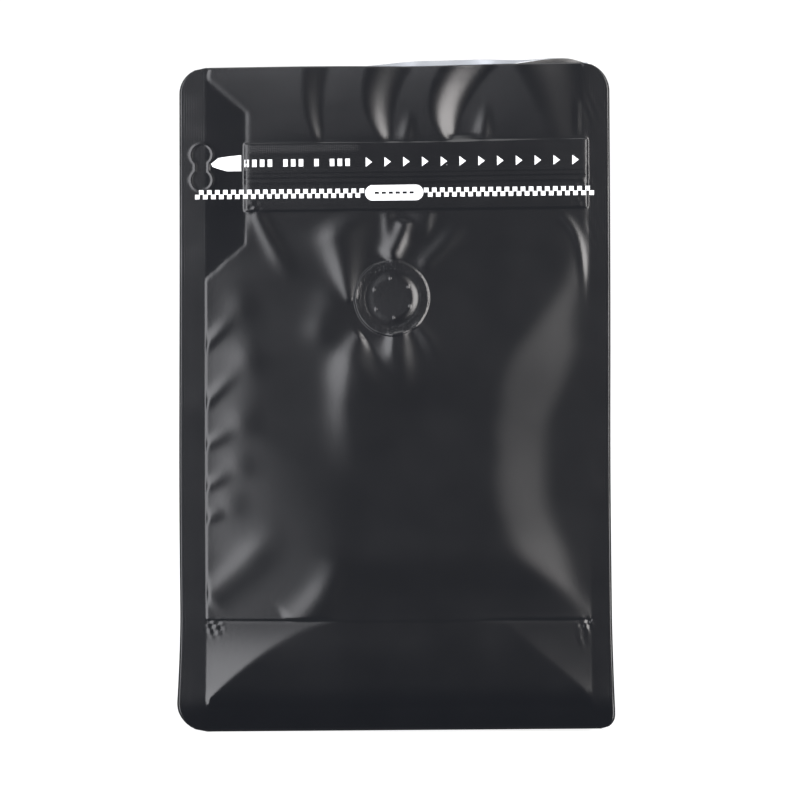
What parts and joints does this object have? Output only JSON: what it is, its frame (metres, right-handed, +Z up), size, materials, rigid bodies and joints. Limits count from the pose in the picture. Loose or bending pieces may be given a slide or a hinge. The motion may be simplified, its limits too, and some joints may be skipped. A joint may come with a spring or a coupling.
{
  "type": "flat-bottom coffee bag",
  "caption": "Empty matte black stand-up film pouch with flat bottom, folded side gussets, open mouth, tear band with press-to-close strip, and one-way degassing valve.",
  "frame": {"origin": "middle of the bag's bounding box at the floor, under the skirt", "axes": "+Z up from the bottom to the mouth, the printed front with the valve faces -Y, +X to the right seen from the front"},
  "size_m": [0.13, 0.0628, 0.2],
  "materials": {
    "film": "matte",
    "valve": "satin",
    "closure_strip": "satin"
  },
  "bodies": {
    "root": {"pouch": "film", "valve": "valve", "closure_strip": "closure_strip"}
  },
  "joints": []
}
